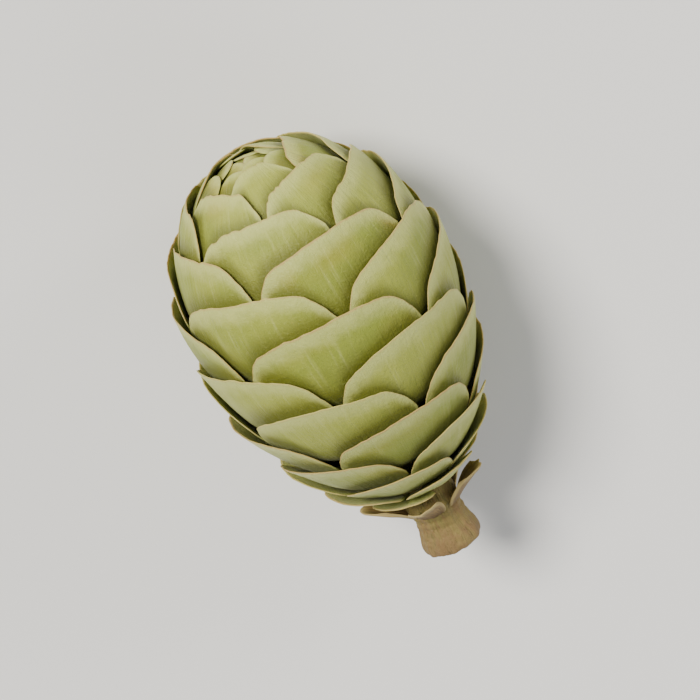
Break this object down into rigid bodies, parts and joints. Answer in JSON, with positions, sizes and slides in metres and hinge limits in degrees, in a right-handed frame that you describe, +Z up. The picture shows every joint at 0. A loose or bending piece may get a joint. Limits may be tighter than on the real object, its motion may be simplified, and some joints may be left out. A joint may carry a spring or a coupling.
{
  "type": "cedar cone",
  "caption": "Small closed unripe cedar cone with broad overlapping pale yellow-green scales, a closed tip and a short brown stalk, lying on its side.",
  "frame": {"origin": "middle of the underside of the box round the cone as it lies on its side, on the surface that it rests on", "axes": "+X from the stalk towards the tip of the cone, along the surface; +Y across it; +Z up"},
  "size_m": [0.0204, 0.0118, 0.0118],
  "materials": {
    "scale_green": "pale yellow-green, faintly waxy, paler along the free margin",
    "tip_green": "pale yellow-green, faintly waxy",
    "stalk": "rough young bark, olive brown, pale where it broke off",
    "papery_brown": "dry papery brown, matt"
  },
  "bodies": {
    "root": {"cone_axis": "stalk", "tip_bud": "tip_green", "bud_scale_1": "papery_brown", "bud_scale_2": "papery_brown", "bud_scale_3": "papery_brown", "bud_scale_4": "papery_brown", "bud_scale_5": "papery_brown", "scale_01": "scale_green", "scale_02": "scale_green", "scale_03": "scale_green", "scale_04": "scale_green", "scale_05": "scale_green", "scale_06": "scale_green", "scale_07": "scale_green", "scale_08": "scale_green", "scale_09": "scale_green", "scale_10": "scale_green", "scale_11": "scale_green", "scale_12": "scale_green", "scale_13": "scale_green", "scale_14": "scale_green", "scale_15": "scale_green", "scale_16": "scale_green", "scale_17": "scale_green", "scale_18": "scale_green", "scale_19": "scale_green", "scale_20": "scale_green", "scale_21": "scale_green", "scale_22": "scale_green", "scale_23": "scale_green", "scale_24": "scale_green", "scale_25": "scale_green", "scale_26": "scale_green", "scale_27": "scale_green", "scale_28": "scale_green", "scale_29": "scale_green", "scale_30": "scale_green", "scale_31": "scale_green", "scale_32": "scale_green", "scale_33": "scale_green", "scale_34": "scale_green", "scale_35": "scale_green", "scale_36": "scale_green", "scale_37": "scale_green", "scale_38": "scale_green", "scale_39": "scale_green", "scale_40": "scale_green", "scale_41": "scale_green", "scale_42": "scale_green", "scale_43": "scale_green", "scale_44": "scale_green", "scale_45": "scale_green", "scale_46": "scale_green", "scale_47": "scale_green", "scale_48": "scale_green", "scale_49": "scale_green", "scale_50": "scale_green", "scale_51": "scale_green", "scale_52": "scale_green"}
  },
  "joints": []
}
